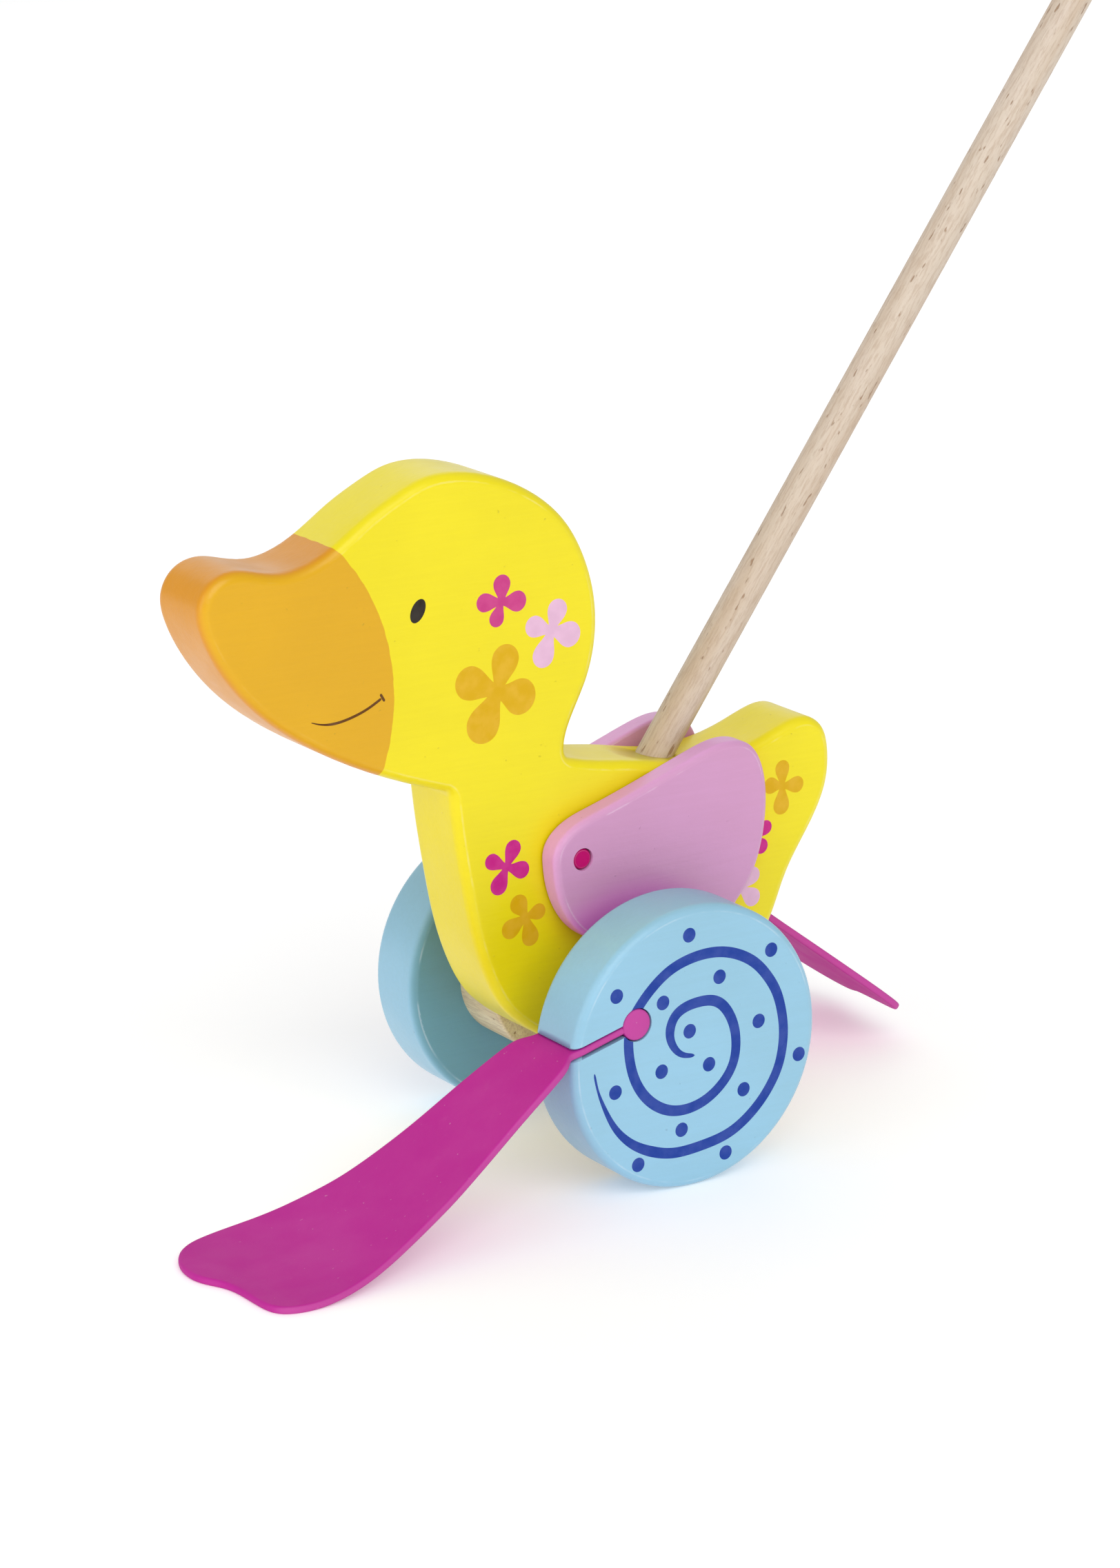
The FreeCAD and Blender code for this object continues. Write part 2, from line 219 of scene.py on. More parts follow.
WHITE = (1, 1, 1, 1)
YELLOW = linear(242, 225, 10)
BEAK_SIDE = linear(226, 172, 4)
BEAK_EDGE = linear(223, 149, 18)
LILAC = linear(212, 154, 198)
LILAC_EDGE = linear(227, 165, 220)
# Painted shade and reflection low on a wing, by the wheel: a darker, more saturated lilac.
SHADED_LILAC = linear(226, 106, 212)
SKY = linear(149, 198, 224)
# Painted shade on a wheel's inner side, which faces the duck.
SHADED_SKY = linear(112, 166, 186)
MAGENTA_PAINT = linear(194, 0, 108)
RUBBER = linear(190, 38, 149)
STICK_WOOD = (linear(214, 198, 180), linear(203, 181, 158))
HUB_WOOD = (linear(240, 226, 190), linear(218, 196, 156))
WOOD_PATCH = linear(222, 206, 194)
WOOD_PORE = linear(176, 148, 122)
WOOD_FLECK = linear(150, 112, 78)
INKS = {
    "ink_rose": linear(204, 62, 134),
    "ink_pink": linear(230, 186, 214),
    "ink_orange": linear(224, 176, 8),
    "ink_magenta": linear(203, 28, 134),
    "ink_blue": linear(24, 62, 156),
    "ink_dark": linear(34, 24, 12),
    "ink_brown": linear(100, 58, 0),
}


# ---------------------------------------------------------------- curves and outlines

def smooth_line(points, spacing=0.4, closed=False):
    """Points evenly spaced along a smooth curve, a cubic spline, through the given points."""
    knots = np.array(points, float)
    if closed:
        wrap = 4
        knots = np.vstack([knots[-wrap:], knots, knots[:wrap + 1]])
    chord = np.r_[0, np.cumsum(np.linalg.norm(np.diff(knots, axis=0), axis=1) ** 0.5)]
    count = len(knots)
    matrix = np.eye(count)
    right = np.zeros_like(knots)
    for i in range(1, count - 1):
        before, after = chord[i] - chord[i - 1], chord[i + 1] - chord[i]
        matrix[i, i - 1:i + 2] = before, 2 * (before + after), after
        right[i] = 6 * ((knots[i + 1] - knots[i]) / after - (knots[i] - knots[i - 1]) / before)
    bend = np.linalg.solve(matrix, right)
    fine = []
    first, last = (wrap, count - wrap - 1) if closed else (0, count - 1)
    for i in range(first, last):
        step = chord[i + 1] - chord[i]
        for t in np.linspace(0, 1, 24, endpoint=False):
            a, b = 1 - t, t
            curve = (a ** 3 - a) * bend[i] + (b ** 3 - b) * bend[i + 1]
            fine.append(a * knots[i] + b * knots[i + 1] + step ** 2 / 6 * curve)
    fine.append(knots[last])
    return evenly(np.array(fine), spacing)


def evenly(line, spacing):
    """The same line with its points evenly spaced."""
    along = distances(line)
    count = max(2, int(round(along[-1] / spacing)) + 1)
    places = np.linspace(0, along[-1], count)
    return np.stack([np.interp(places, along, line[:, i]) for i in range(2)], 1)


def distances(line):
    """How far along the line each of its points lies."""
    return np.r_[0, np.cumsum(np.linalg.norm(np.diff(line, axis=0), axis=1))]


def line_normals(line, closed=False):
    """A unit vector to the left of the line at each of its points."""
    if closed:
        heading = np.roll(line, -1, 0) - np.roll(line, 1, 0)
    else:
        heading = np.gradient(line, axis=0)
    heading /= np.linalg.norm(heading, axis=1)[:, None]
    return np.stack([-heading[:, 1], heading[:, 0]], 1)


def direction(degrees):
    """A unit vector at an angle from +x towards +z."""
    return np.array((math.cos(math.radians(degrees)), math.sin(math.radians(degrees))))


def ellipse(centre, radii, tilt=0.0, count=48):
    """An oval outline whose first radius is turned by tilt, in degrees."""
    angles = np.linspace(0, 2 * np.pi, count, endpoint=False)
    c, s = direction(tilt)
    along, across = radii[0] * np.cos(angles), radii[1] * np.sin(angles)
    return np.array(centre) + np.stack([c * along - s * across, s * along + c * across], 1)


def circle(centre, radius, count):
    """A round outline."""
    return ellipse(centre, (radius, radius), 0.0, count)


def petal(centre, x, z, radius):
    """A drop from the flower's centre to a round end."""
    middle = np.array(centre)
    end = np.array((x, z))
    reach = np.linalg.norm(end - middle)
    axis = (end - middle) / reach
    side = np.array((-axis[1], axis[0]))
    half = [middle - axis * radius * 0.25 + side * radius * 0.12]
    for share, width in PETAL_WIDTHS:
        half.append(middle + axis * reach * share + side * radius * width)
    for angle in np.linspace(80, 0, 7):
        out, over = direction(angle)
        half.append(end + radius * (out * axis + over * side))
    other = [p - 2 * side * ((p - middle) @ side) for p in reversed(half[:-1])]
    return smooth_line(half + other, 0.25, closed=True)[:-1]


def stroke(line, widths):
    """The outline of a brush stroke along a line, with its width at each point."""
    reach = line_normals(line) * np.array(widths)[:, None] / 2
    return np.vstack([line + reach, (line - reach)[::-1]])


def rounded_ends(line, width, taper_start=0.0, taper_end=0.0):
    """Stroke widths that round off at both ends, and taper over a share of the line where asked."""
    along = distances(line)
    from_end = np.minimum(along, along[-1] - along)
    near_end = np.clip(from_end / (width / 2), STROKE_TIP, 1)
    widths = width * np.sqrt(1 - (1 - near_end) ** 2)
    share = along / along[-1]
    if taper_start:
        widths = widths * np.clip(STROKE_START + (1 - STROKE_START) * share / taper_start, 0, 1)
    if taper_end:
        widths = widths * np.clip((1 - share) / taper_end, STROKE_END, 1) ** 0.8
    return widths


def crossings(points, starts, ends):
    """How many of the segments from starts to ends a ray from each point towards +x meets."""
    x, z = points[:, 0][:, None], points[:, 1][:, None]
    spans = (starts[:, 1] > z) != (ends[:, 1] > z)
    rise = np.where(ends[:, 1] == starts[:, 1], 1e-12, ends[:, 1] - starts[:, 1])
    meets = x < starts[:, 0] + (z - starts[:, 1]) * (ends[:, 0] - starts[:, 0]) / rise
    return (spans & meets).sum(1)


def inside(points, outline):
    """Which points lie inside a closed outline, by the even-odd rule."""
    return crossings(points, outline, np.roll(outline, -1, 0)) % 2 == 1


def loop_lines(first, count):
    """Pairs of neighbouring point numbers round a closed outline."""
    return [(first + i, first + (i + 1) % count) for i in range(count)]


def triangulate(points, lines):
    """Points and triangles of a plane cut along lines, with the middle of each triangle."""
    places, _, triangles, sources, _, _ = delaunay_2d_cdt(points, lines, [], 0, 1e-5, True)
    middles = np.array([np.mean([places[i] for i in t], axis=0) for t in triangles])
    return places, triangles, sources, middles


# ---------------------------------------------------------------- materials

class Nodes:
    """A material's node tree, with short ways to add and join nodes."""

    def __init__(self, name):
        self.material = bpy.data.materials.new(name)
        self.material.use_nodes = True
        self.tree = self.material.node_tree
        self.shader = self.tree.nodes["Principled BSDF"]

    def add(self, kind, **settings):
        """A new shader node with its inputs or properties set."""
        node = self.tree.nodes.new("ShaderNode" + kind)
        for key, value in settings.items():
            if key in node.inputs:
                node.inputs[key].default_value = value
            else:
                setattr(node, key, value)
        return node

    def join(self, source, target):
        """Links an output socket to an input socket."""
        self.tree.links.new(source, target)

    def surface(self, base, **values):
        """Gives the shader its base colour, and constants named with _ for each space."""
        self.join(base, self.shader.inputs["Base Color"])
        for name, value in values.items():
            self.shader.inputs[name.replace("_", " ")].default_value = value

    def math(self, operation, a, b=0.0):
        """One sum with two values, each a number or a socket."""
        node = self.add("Math", operation=operation)
        for socket, value in zip(node.inputs, (a, b)):
            if isinstance(value, (int, float)):
                socket.default_value = value
            else:
                self.join(value, socket)
        return node.outputs[0]

    def place(self, rotation=(0, 0, 0), scale=(1, 1, 1)):
        """Coordinates fixed to the piece, turned and then stretched."""
        coordinate = self.add("TexCoord").outputs["Object"]
        turned = self.add("Mapping", Rotation=rotation)
        stretched = self.add("Mapping", Scale=scale)
        self.join(coordinate, turned.inputs["Vector"])
        self.join(turned.outputs[0], stretched.inputs["Vector"])
        return stretched.outputs[0]

    def sideways(self, output):
        """How far the surface's Normal, or its place (Object), goes along y, either way."""
        parts = self.add("SeparateXYZ")
        self.join(self.add("TexCoord").outputs[output], parts.inputs[0])
        return self.math("ABSOLUTE", parts.outputs["Y"])

    def away_from(self, centre):
        """The distance from a point as seen from the side."""
        flat = self.add("VectorMath", operation="MULTIPLY")
        self.join(self.add("TexCoord").outputs["Object"], flat.inputs[0])
        flat.inputs[1].default_value = (1, 0, 1)
        away = self.add("VectorMath", operation="DISTANCE")
        self.join(flat.outputs[0], away.inputs[0])
        away.inputs[1].default_value = (centre.x, 0, centre.z)
        return away.outputs["Value"]

    def noise(self, vector, scale, detail=3.0, roughness=0.5):
        """A noise texture."""
        node = self.add("TexNoise", Scale=scale, Detail=detail, Roughness=roughness)
        self.join(vector, node.inputs["Vector"])
        return node.outputs["Fac"]

    def span(self, value, low, high, to_low=0.0, to_high=1.0):
        """The range from low to high, eased onto another range and held beyond it."""
        node = self.add("MapRange", interpolation_type="SMOOTHSTEP")
        self.join(value, node.inputs["Value"])
        numbers = {"From Min": low, "From Max": high, "To Min": to_low, "To Max": to_high}
        for key, number in numbers.items():
            node.inputs[key].default_value = number
        return node.outputs["Result"]

    def mix(self, share, a, b, blend="MIX"):
        """Colours a and b mixed by share; each may be a colour or a socket."""
        node = self.add("Mix", data_type="RGBA", blend_type=blend)
        factor, first, second = node.inputs["Factor"], node.inputs[6], node.inputs[7]
        for socket, value in ((factor, share), (first, a), (second, b)):
            if isinstance(value, bpy.types.NodeSocket):
                self.join(value, socket)
            else:
                socket.default_value = value
        return node.outputs[2]

    def tint(self, base, mask, strength, colour):
        """The base moved towards a colour, as far as the mask and the strength say."""
        return self.mix(self.math("MULTIPLY", mask, strength), base, colour)

    def dim(self, base, light, shadow):
        """The base multiplied by a shadow's colour where light is 0, and left alone where it's 1."""
        return self.mix(1.0, base, self.mix(light, shadow, WHITE), "MULTIPLY")

    def roughness(self, texture, low, high):
        """Roughness that follows a texture from low to high."""
        self.join(self.span(texture, 0.3, 0.7, low, high), self.shader.inputs["Roughness"])

    def bumps(self, *layers):
        """Relief from (height socket, depth in metres) layers, one on another, into the shader's normal."""
        normal = None
        for height, depth in layers:
            bump = self.add("Bump", Strength=1.0, Distance=depth)
            self.join(height, bump.inputs["Height"])
            if normal:
                self.join(normal, bump.inputs["Normal"])
            normal = bump.outputs["Normal"]
        self.join(normal, self.shader.inputs["Normal"])


def shade(colour, factor):
    """A colour made lighter or darker."""
    return (*[min(1.0, c * factor) for c in colour[:3]], 1.0)


def toward_white(colour, share):
    """A colour moved a little way towards white."""
    return (*[c + (1 - c) * share for c in colour[:3]], 1.0)


def facing_side(nodes):
    """1 on a board's flat sides, 0 on its edge."""
    return nodes.span(nodes.sideways("Normal"), 0.25, 0.96)


def highlight_line(nodes):
    """1 along the line where a board's flat side turns into its rounded rim, 0 elsewhere: the place of a
    painted highlight.
    """
    facing = nodes.sideways("Normal")
    return nodes.math("MULTIPLY", nodes.span(facing, 0.925, 0.955), nodes.span(facing, 0.992, 0.975))


def wing_shade_near_axle(nodes):
    """Rises from 0 to 1 towards the arch round the axle: painted shade and reflection, a deeper lilac low on
    a wing by the wheel.
    """
    return nodes.span(nodes.away_from(AXLE), 0.043, 0.027)


def wheel_inner_shade(nodes):
    """1 on a wheel's inner side, 0 elsewhere: painted shade, a darker blue where the duck shades that side.
    """
    return nodes.span(nodes.sideways("Object"), WHEEL_INNER + 0.0024, WHEEL_INNER + 0.0001)


def beak_mask(nodes):
    """1 in front of the round masking line that parts the beak from the head, seen from the side."""
    wobble = nodes.span(nodes.noise(nodes.place(), 240.0, 2.0), 0.3, 0.7, -0.0001, 0.0001)
    edge = nodes.math("ADD", nodes.away_from(BEAK_CENTRE), wobble)
    return nodes.span(edge, BEAK_RADIUS + MASKING_BLUR, BEAK_RADIUS - MASKING_BLUR)


def paint(name, colour, beak=False, edge=None, shade_tone=None, where_shaded=None, grain=BOARD_GRAIN, coat=0.15,
          specular=0.35):
    """Sprayed paint on sanded board: clouds, grain, dust nibs, orange peel, a broken painted highlight along
    the rims and painted shade where asked.
    """
    nodes = Nodes(name)
    plain = nodes.place()
    along_grain = nodes.place(scale=grain)
    base = colour
    if beak:
        base = nodes.mix(beak_mask(nodes), colour, nodes.mix(facing_side(nodes), BEAK_EDGE, BEAK_SIDE))
    if edge:
        base = nodes.mix(facing_side(nodes), edge, colour)
    # Painted shade: the base goes towards a darker colour where the mask says.
    if shade_tone:
        base = nodes.mix(where_shaded(nodes), base, shade_tone)
    clouds = nodes.span(nodes.noise(plain, 22.0, 3.0), 0.35, 0.68)
    base = nodes.dim(base, clouds, (0.955, 0.95, 0.93, 1))
    figure = nodes.span(nodes.noise(along_grain, 3.2, 4.0, 0.6), 0.38, 0.66)
    base = nodes.dim(base, figure, (0.985, 0.982, 0.975, 1))
    nibs = nodes.span(nodes.noise(plain, 620.0, 1.0), 0.77, 0.84)
    base = nodes.tint(base, nibs, 0.30, shade(colour, 0.45))
    # Painted highlight: a thin pale line along the rims, broken up by noise and much fainter on the beak.
    highlight_breaks = nodes.span(nodes.noise(plain, 90.0, 4.0), 0.45, 0.65, 0.1, 1.0)
    rim_highlight = nodes.math("MULTIPLY", highlight_line(nodes), highlight_breaks)
    if beak:
        rim_highlight = nodes.math("MULTIPLY", rim_highlight, nodes.span(beak_mask(nodes), 0.0, 1.0, 0.6, 0.1))
    base = nodes.tint(base, rim_highlight, 0.34, toward_white(colour, 0.5))
    nodes.surface(base, Coat_Weight=coat, Coat_Roughness=0.22, Specular_IOR_Level=specular)
    nodes.roughness(nodes.noise(plain, 75.0, 4.0), 0.28, 0.40)
    raised_grain = nodes.noise(along_grain, 5.0, 5.0, 0.62)
    orange_peel = nodes.noise(plain, 420.0, 2.0)
    nodes.bumps((raised_grain, 0.00006), (orange_peel, 0.00006), (nibs, 0.00008))
    return nodes.material


def ink(name, colour):
    """Printing ink on the paint: even colour with a faint screen texture, glossier than the paint."""
    nodes = Nodes(name)
    plain = nodes.place()
    blotches = nodes.span(nodes.noise(plain, 260.0, 4.0), 0.32, 0.7)
    nodes.surface(nodes.mix(blotches, shade(colour, 0.93), toward_white(colour, 0.02)),
                  Specular_IOR_Level=0.2)
    nodes.roughness(nodes.noise(plain, 160.0, 3.0), 0.27, 0.38)
    nodes.bumps((nodes.noise(plain, 420.0, 2.0), 0.00006), (nodes.noise(plain, 1800.0, 1.0), 0.00001))
    return nodes.material


def beech(name, rotation, light, dark):
    """Bare beech under a thin lacquer. After the rotation its grain runs along X: bands, pores, flecks."""
    nodes = Nodes(name)
    bands = nodes.noise(nodes.place(rotation, (3.0, 60.0, 60.0)), 3.0, 4.0, 0.6)
    pores = nodes.noise(nodes.place(rotation, (140.0, 1300.0, 1300.0)), 1.3, 4.0, 0.75)
    flecks = nodes.span(nodes.noise(nodes.place(rotation, (170.0, 700.0, 700.0)), 1.0, 2.0), 0.66, 0.72)
    patches = nodes.noise(nodes.place(rotation, (12.0, 60.0, 60.0)), 2.0, 3.0)
    base = nodes.mix(nodes.span(bands, 0.32, 0.68), dark, light)
    base = nodes.tint(base, nodes.span(patches, 0.5, 0.75), 0.4, WOOD_PATCH)
    base = nodes.tint(base, nodes.span(pores, 0.45, 0.62), 0.42, WOOD_PORE)
    base = nodes.tint(base, flecks, 0.75, WOOD_FLECK)
    nodes.surface(base, Coat_Weight=0.12, Coat_Roughness=0.35)
    nodes.roughness(pores, 0.45, 0.58)
    nodes.bumps((bands, 0.00012), (pores, 0.00012), (flecks, -0.00012))
    return nodes.material


def rubber(name, colour):
    """Moulded rubber: soft sheen, faint mottling, a bloom in patches, dust, a fine moulded grain and a
    painted highlight on its edges.
    """
    nodes = Nodes(name)
    plain = nodes.place()
    mottle = nodes.span(nodes.noise(plain, 55.0, 4.0), 0.35, 0.7)
    base = nodes.mix(mottle, shade(colour, 0.975), toward_white(colour, 0.01))
    bloom = nodes.span(nodes.noise(plain, 240.0, 5.0, 0.7), 0.55, 0.8)
    base = nodes.tint(base, bloom, 0.05, toward_white(colour, 0.20))
    # Painted highlight: the sheet's edges and the bead's ends lighter, as rounded rims catching the light.
    edge_highlight = nodes.span(nodes.sideways("Normal"), 0.25, 0.85)
    base = nodes.tint(base, edge_highlight, 0.36, toward_white(colour, 0.12))
    dust = nodes.span(nodes.noise(plain, 900.0, 1.0), 0.76, 0.82)
    base = nodes.tint(base, dust, 0.25, toward_white(colour, 0.5))
    nodes.surface(base, Specular_IOR_Level=0.15)
    nodes.roughness(nodes.noise(plain, 90.0, 4.0), 0.56, 0.66)
    nodes.bumps((nodes.noise(plain, 45.0, 2.0), 0.00007), (nodes.noise(plain, 1500.0, 3.0), 0.00003))
    return nodes.material


def pale_floor():
    """A pale floor with a little light of its own and the faintest unevenness."""
    nodes = Nodes("floor")
    tone = nodes.span(nodes.noise(nodes.place(), 3.0, 3.0), 0.3, 0.7)
    nodes.surface(nodes.mix(tone, (0.955, 0.955, 0.955, 1), (0.975, 0.975, 0.975, 1)),
                  Roughness=0.75, Emission_Color=WHITE, Emission_Strength=FLOOR_GLOW)
    return nodes.material


# ---------------------------------------------------------------- meshes

def new_object(name, mesh):
    """Puts a mesh into the scene."""
    piece = bpy.data.objects.new(name, mesh)
    bpy.context.scene.collection.objects.link(piece)
    return piece


def finished_mesh(shape, name):
    """Turns a bmesh into a mesh and frees it."""
    mesh = bpy.data.meshes.new(name)
    shape.to_mesh(mesh)
    shape.free()
    return mesh


def smooth_faces(mesh, sharp_degrees):
    """Smooth shading, broken at edges sharper than this."""
    for face in mesh.polygons:
        face.use_smooth = True
    mesh.set_sharp_from_angle(angle=math.radians(sharp_degrees))


def printed_board(node, name, prints, paint_material):
    """A board of the CAD's shape whose flat sides are cut along the printed outlines: each print is faces.

    prints gives, for each side's y in metres, a list of (ink, outline in millimetres from the axle)."""
    board = bmesh.new()
    board.from_mesh(frame["nodes"][node].data)
    bmesh.ops.remove_doubles(board, verts=board.verts, dist=TOUCHING)
    for face in board.faces:
        face.material_index = 0
    inks = sorted({colour for shapes in prints.values() for colour, _ in shapes})
    for side, shapes in prints.items():
        print_side(board, side, [(1 + inks.index(colour), outline) for colour, outline in shapes])
    bmesh.ops.recalc_face_normals(board, faces=board.faces)
    mesh = finished_mesh(board, name)
    mesh.materials.append(paint_material)
    for colour in inks:
        mesh.materials.append(ink_materials[colour])
    smooth_faces(mesh, BOARD_SHARPNESS)
    flatten_sides(mesh, [corner.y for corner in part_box(node)])
    return new_object(name, mesh)


def flatten_sides(mesh, sides):
    """Shades a board's flat sides as flat right up to their rounded rims."""
    normals = [corner.vector.copy() for corner in mesh.corner_normals]
    for face in mesh.polygons:
        if abs(face.normal.y) < 0.6:
            continue
        facing = Vector((0, math.copysign(1, face.normal.y), 0))
        for loop in face.loop_indices:
            y = mesh.vertices[mesh.loops[loop].vertex_index].co.y
            if min(abs(y - side) for side in sides) < SAME_SIDE:
                normals[loop] = facing
    mesh.normals_split_custom_set(normals)


def print_side(board, side, shapes):
    """Cuts one flat side of a board along outlines, and gives the faces inside each its material index."""
    flat = {f for f in board.faces if all(abs(v.co.y - side) < TOUCHING for v in f.verts)}
    rim = [e for e in board.edges if sum(f in flat for f in e.link_faces) == 1]
    corners = list(dict.fromkeys(v for e in rim for v in e.verts))
    order = {v: i for i, v in enumerate(corners)}
    points = [Vector(((v.co.x - AXLE.x) / MM, (v.co.z - AXLE.z) / MM)) for v in corners]
    lines = [(order[e.verts[0]], order[e.verts[1]]) for e in rim]
    starts = np.array([points[a] for a, _ in lines])
    ends = np.array([points[b] for _, b in lines])
    for _, outline in shapes:
        lines += loop_lines(len(points), len(outline))
        points += [Vector(p) for p in outline]
    places, triangles, sources, middles = triangulate(points, lines)
    kept = crossings(middles, starts, ends) % 2 == 1
    ink_index = np.zeros(len(triangles), int)
    for index, outline in shapes:
        ink_index[inside(middles, np.array(outline))] = index
    bmesh.ops.delete(board, geom=list(flat), context="FACES")
    corner_of = {}
    for i, source in enumerate(sources):
        known = [s for s in source if s < len(corners)]
        if known:
            corner_of[i] = corners[known[0]]
    for triangle, keep, index in zip(triangles, kept, ink_index):
        if not keep:
            continue
        for i in triangle:
            if i not in corner_of:
                place = (places[i].x * MM + AXLE.x, side, places[i].y * MM + AXLE.z)
                corner_of[i] = board.verts.new(place)
        face = board.faces.new([corner_of[i] for i in triangle])
        face.material_index = int(index)


def foot_line(bead_angle, slot_angle, curve):
    """A foot's middle line from its bead, each point's distance from the flexing line, and the bead."""
    bead = BEAD_DISTANCE * direction(bead_angle)
    out = direction(slot_angle)
    hinge = np.array(curve[0])
    straight = (hinge - bead) @ out
    in_slot = [bead + out * straight * share for share in (0.0, 0.25, 0.5, 0.72, 0.88)]
    line = smooth_line(in_slot + list(curve), 0.25)
    along = distances(line)
    return line, along - along[np.argmin(np.linalg.norm(line - hinge, axis=1))], bead


def foot_outline(start, end):
    """A foot's edge with the tongue that starts it, shortened where its middle line ends early."""
    reach = min(1.0, end / (max(s for s, _ in FOOT_EDGE) + 0.3))
    tongue = [(start, TONGUE_HALF_WIDTH), (start * 0.5, TONGUE_HALF_WIDTH), (TONGUE_END, TONGUE_HALF_WIDTH)]
    edge = tongue + FOOT_EDGE + [(s, -across) for s, across in reversed(tongue)]
    return smooth_line([(s * reach if s > 0 else s, across) for s, across in edge], 0.8)


def rim_rings(outline):
    """The outline and the steps of its rounded rim further in, each with its height above the middle."""
    inward = -line_normals(outline, closed=True)
    some = len(outline) // 4
    if not inside(np.array([outline[some] + inward[some] * 0.1]), outline)[0]:
        inward = -inward
    rings = []
    for angle in np.radians((0, 30, 60, 90)):
        inset = FOOT_RIM * (1 - math.cos(angle))
        height = FOOT_HALF_THICKNESS - FOOT_RIM + FOOT_RIM * math.sin(angle)
        rings.append((outline + inward * inset, height))
    rings.append((outline + inward * FOOT_RIM * 1.5, FOOT_HALF_THICKNESS))
    return rings


def fill_ring(ring, start, end):
    """Points, the ring's own first, and triangles that fill a ring finely enough to bend."""
    steps_along = np.arange(start, end, SHEET_STEP_ALONG)
    steps_across = np.arange(-SHEET_HALF_WIDTH, SHEET_HALF_WIDTH + 1.0, SHEET_STEP_ACROSS)
    grid = np.array([(s, across) for s in steps_along for across in steps_across])
    grid = grid[inside(grid, ring)]
    room = np.min(np.linalg.norm(grid[:, None] - ring[None], axis=2), axis=1)
    points = [Vector(p) for p in np.vstack([ring, grid[room > SHEET_CLEARANCE]])]
    places, triangles, _, middles = triangulate(points, loop_lines(0, len(ring)))
    return places, [t for t, kept in zip(triangles, inside(middles, ring)) if kept]


def foot_sheet(line, along, middle_y, twist, name):
    """The sheet of a foot with its tongue: an outline cut from a curved sheet, its rims rounded."""
    start = along[0] + TONGUE_START
    rings = rim_rings(foot_outline(start, along[-1]))
    inner = rings[-1][0]
    places, triangles = fill_ring(inner, start + 1.5, along[-1])
    normals = line_normals(line)
    slope = math.tan(math.radians(twist))

    def corner(place, height):
        s, across = place
        x, z = (np.interp(s, along, line[:, i]) for i in range(2))
        up_x, up_z = (np.interp(s, along, normals[:, i]) for i in range(2))
        z -= across * slope * min(1.0, max(0.0, s / TWIST_REACH))
        x, z = x + up_x * height, z + up_z * height
        return (x * MM + AXLE.x, middle_y + across * MM, z * MM + AXLE.z)

    sheet = bmesh.new()
    above_and_below = []
    for side in (1, -1):
        rows = [[sheet.verts.new(corner(p, side * height)) for p in ring] for ring, height in rings]
        middle = [sheet.verts.new(corner(p, side * FOOT_HALF_THICKNESS)) for p in places[len(inner):]]
        flat = rows[-1] + middle
        for triangle in triangles:
            sheet.faces.new([flat[i] for i in triangle])
        above_and_below.append(rows)
    above, below = above_and_below
    bands = list(zip(above, above[1:])) + list(zip(below, below[1:])) + [(above[0], below[0])]
    for row, other in bands:
        for i, j in loop_lines(0, len(row)):
            sheet.faces.new((row[i], row[j], other[j], other[i]))
    bmesh.ops.recalc_face_normals(sheet, faces=sheet.faces)
    return new_object(name, finished_mesh(sheet, name))


def bead_roll(bead, middle_y, name):
    """The bead: a round roll across the wheel, its end rims softened."""
    profile = [(0.0, -BEAD_HALF_LENGTH)]
    for angle in (-90, -60, -30, 0):
        out, over = direction(angle) * BEAD_RIM
        profile.append((BEAD_RADIUS - BEAD_RIM + out, -BEAD_HALF_LENGTH + BEAD_RIM + over))
    profile += [(radius, -across) for radius, across in reversed(profile)]
    roll = bmesh.new()
    rows = []
    for radius, across in profile:
        row = []
        for i in range(BEAD_TURNS if radius else 1):
            x, z = bead + radius * direction(360 * i / BEAD_TURNS)
            row.append(roll.verts.new((x * MM + AXLE.x, middle_y + across * MM, z * MM + AXLE.z)))
        rows.append(row)
    for row, other in zip(rows, rows[1:]):
        for i, j in loop_lines(0, BEAD_TURNS):
            corners = [row[i % len(row)], row[j % len(row)], other[j % len(other)], other[i % len(other)]]
            roll.faces.new(list(dict.fromkeys(corners)))
    bmesh.ops.recalc_face_normals(roll, faces=roll.faces)
    return new_object(name, finished_mesh(roll, name))


def join_solids(piece, other):
    """Adds another closed mesh to a piece, so that they are one closed mesh, and removes it."""
    union = piece.modifiers.new("union", "BOOLEAN")
    union.operation = "UNION"
    union.solver = "EXACT"
    union.object = other
    whole = piece.evaluated_get(bpy.context.evaluated_depsgraph_get())
    shape = bpy.data.meshes.new_from_object(whole)
    piece.modifiers.clear()
    piece.data = shape
    bpy.data.objects.remove(other)


def make_foot(side, bead_angle, slot_angle, curve, middle_y, twist=0.0):
    """One rubber foot, moulded in one piece from its bead to its toes, which bends past its flexing line."""
    line, along, bead = foot_line(bead_angle, slot_angle, curve)
    foot = foot_sheet(line, along, middle_y, twist, side + "_foot")
    join_solids(foot, bead_roll(bead, middle_y, side + "_foot_bead"))
    smooth_faces(foot.data, RUBBER_SHARPNESS)
    foot.data.materials.clear()
    foot.data.materials.append(rubber_material)
    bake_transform(foot)
    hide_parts(side + "_foot_root", side + "_foot_blade")
    return foot


# ---------------------------------------------------------------- the pieces

def duck_prints():
    """The flowers, eye and smile of one side, with the ink of each."""
    shapes = []
    for colour, centre, petals in FLOWERS:
        shapes += [(colour, petal(centre, *end)) for end in petals]
        shapes.append((colour, circle(centre, min(end[2] for end in petals) * FLOWER_HEART, 16)))
    shapes.append(("ink_dark", ellipse(EYE_CENTRE, EYE_RADII, EYE_TILT)))
    smile = smooth_line(SMILE, 0.3)
    shapes.append(("ink_brown", stroke(smile, rounded_ends(smile, SMILE_WIDTH, SMILE_TAPER))))
    tick = smooth_line(SMILE_END, 0.2)
    shapes.append(("ink_brown", stroke(tick, rounded_ends(tick, SMILE_WIDTH))))
    return shapes


